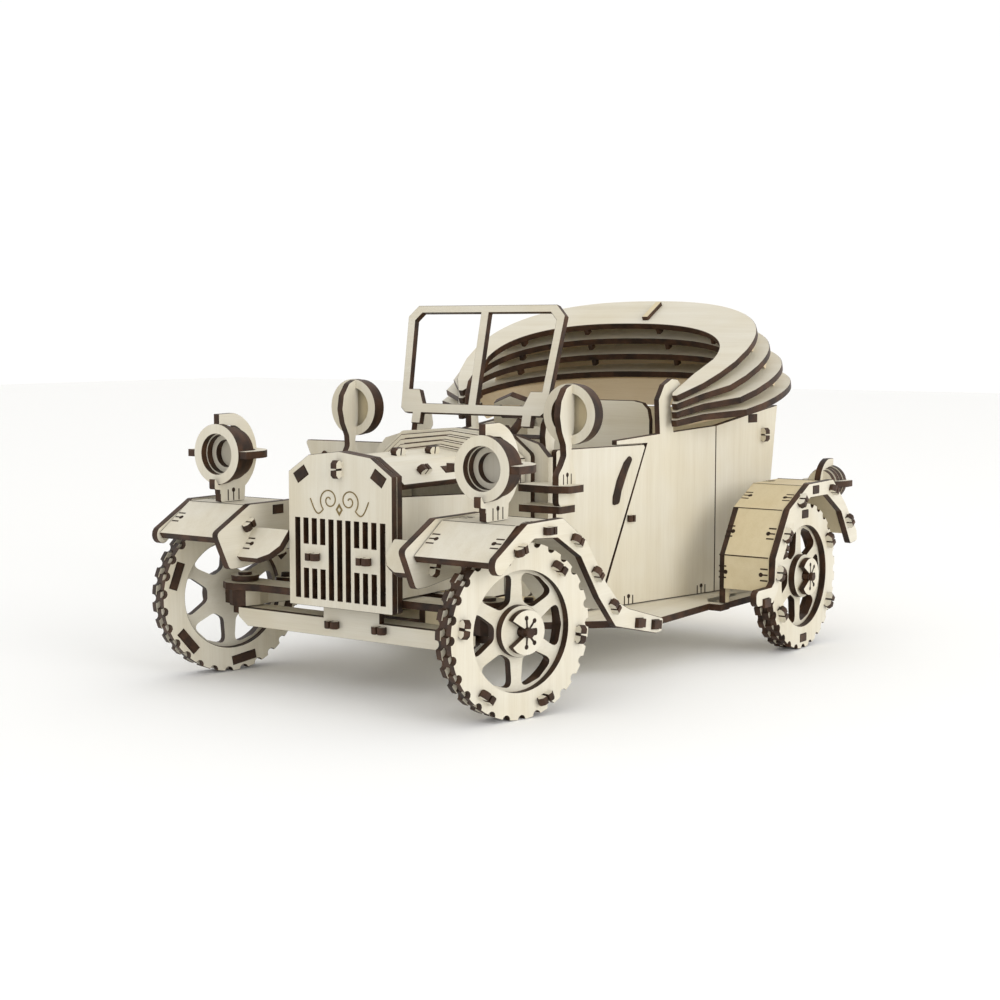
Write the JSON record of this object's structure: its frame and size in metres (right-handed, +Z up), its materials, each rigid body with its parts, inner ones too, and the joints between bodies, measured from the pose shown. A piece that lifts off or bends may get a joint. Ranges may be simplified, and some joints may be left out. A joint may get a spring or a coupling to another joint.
{
  "type": "wooden 3d jigsaw car",
  "caption": "Slot-together plywood kit model of a vintage open touring car, with turning wheels, linked steering, hinged doors and a folded hood.",
  "frame": {"origin": "centre of the bounding box's bottom, on the table under the car", "axes": "+X the car's left, -Y its front, +Z up"},
  "size_m": [0.1958, 0.2606, 0.1435],
  "materials": {
    "birch_ply": "bare laser-cut birch plywood with burnt edges",
    "burnt_edge": "charred laser-cut edge",
    "dowel": "bare birch dowel"
  },
  "bodies": {
    "chassis": {"axle_top_plate": "birch_ply", "back_panel": "birch_ply", "bonnet": "birch_ply", "chassis_rail_left": "birch_ply", "chassis_rail_right": "birch_ply", "cowl_steps": "birch_ply", "engine_side_left": "birch_ply", "engine_side_right": "birch_ply", "floor_plate": "birch_ply", "front_axle_beam": "birch_ply", "headlamp_left": "birch_ply", "headlamp_right": "birch_ply", "hood_bow_1": "birch_ply", "hood_bow_2": "birch_ply", "hood_bow_3": "birch_ply", "hood_bow_4": "birch_ply", "quarter_panel_left": "birch_ply", "quarter_panel_right": "birch_ply", "radiator_back": "birch_ply", "radiator_front": "birch_ply", "rear_axle": "dowel", "scuttle": "birch_ply", "seat": "birch_ply", "side_lamp_left": "birch_ply", "side_lamp_right": "birch_ply", "side_panel_left": "birch_ply", "side_panel_right": "birch_ply", "tail_lamp_left": "birch_ply", "tail_lamp_right": "birch_ply", "windscreen_bracket_left": "birch_ply", "windscreen_bracket_right": "birch_ply", "windscreen_frame": "birch_ply", "wing_front_crown_left": "birch_ply", "wing_front_crown_right": "birch_ply", "wing_front_inner_left": "birch_ply", "wing_front_inner_right": "birch_ply", "wing_front_outer_left": "birch_ply", "wing_front_outer_right": "birch_ply", "wing_rear_crown_left": "birch_ply", "wing_rear_crown_right": "birch_ply", "wing_rear_outer_left": "birch_ply", "wing_rear_outer_right": "birch_ply"},
    "knuckle_left": {"steering_knuckle_left": "birch_ply"},
    "wheel_front_left": {"wheel_front_left_tyre_outer": "birch_ply", "wheel_front_left_spoke_disc": "birch_ply", "wheel_front_left_tyre_inner": "birch_ply"},
    "wheel_rear_left": {"wheel_rear_left_tyre_outer": "birch_ply", "wheel_rear_left_spoke_disc": "birch_ply", "wheel_rear_left_tyre_inner": "birch_ply"},
    "door_left": {"door_left": "birch_ply"},
    "knuckle_right": {"steering_knuckle_right": "birch_ply"},
    "wheel_front_right": {"wheel_front_right_tyre_outer": "birch_ply", "wheel_front_right_spoke_disc": "birch_ply", "wheel_front_right_tyre_inner": "birch_ply"},
    "wheel_rear_right": {"wheel_rear_right_tyre_outer": "birch_ply", "wheel_rear_right_spoke_disc": "birch_ply", "wheel_rear_right_tyre_inner": "birch_ply"},
    "door_right": {"door_right": "birch_ply"},
    "tie_rod": {"tie_rod": "birch_ply"},
    "steering_wheel": {"steering_wheel": "birch_ply"}
  },
  "joints": [
    {"name": "steer_left", "type": "hinge", "parent": "chassis", "child": "knuckle_left", "pos_m": [0.0566, -0.09663, 0.03], "axis": [0, 0, 1], "range_deg": [-5, 34]},
    {"name": "spin_front_left", "type": "hinge", "parent": "knuckle_left", "child": "wheel_front_left", "pos_m": [0.06945, -0.10027, 0.03], "axis": [0.9622, -0.2723, 0], "continuous": true},
    {"name": "spin_rear_left", "type": "hinge", "parent": "chassis", "child": "wheel_rear_left", "pos_m": [0.08915, 0.07537, 0.03], "axis": [1, 0, 0], "continuous": true},
    {"name": "door_left_swing", "type": "hinge", "parent": "chassis", "child": "door_left", "pos_m": [0.03547, -0.02313, 0.052], "axis": [0, 0, 1], "range_deg": [-83, 0]},
    {"name": "steer_right", "type": "hinge", "parent": "chassis", "child": "knuckle_right", "pos_m": [-0.0566, -0.09663, 0.03], "axis": [0, 0, 1], "range_deg": [-5, 34]},
    {"name": "spin_front_right", "type": "hinge", "parent": "knuckle_right", "child": "wheel_front_right", "pos_m": [-0.06945, -0.09299, 0.03], "axis": [0.9622, -0.2723, 0], "continuous": true},
    {"name": "spin_rear_right", "type": "hinge", "parent": "chassis", "child": "wheel_rear_right", "pos_m": [-0.08915, 0.07537, 0.03], "axis": [1, 0, 0], "continuous": true},
    {"name": "door_right_swing", "type": "hinge", "parent": "chassis", "child": "door_right", "pos_m": [-0.03547, -0.02313, 0.052], "axis": [0, 0, 1], "range_deg": [-83, 0]},
    {"name": "tie_rod_pivot", "type": "hinge", "parent": "knuckle_left", "child": "tie_rod", "pos_m": [0.0615, -0.07931, 0.03465], "axis": [0, 0, 1], "range_deg": [-34, 5]},
    {"name": "steering_wheel_turn", "type": "hinge", "parent": "chassis", "child": "steering_wheel", "pos_m": [0.009, -0.00663, 0.095], "axis": [0, -0.8192, -0.5736], "continuous": true}
  ],
  "couplings": [
    {"joint": "steer_right", "follows": "steer_left", "ratio": 1},
    {"joint": "tie_rod_pivot", "follows": "steer_left", "ratio": -1}
  ]
}
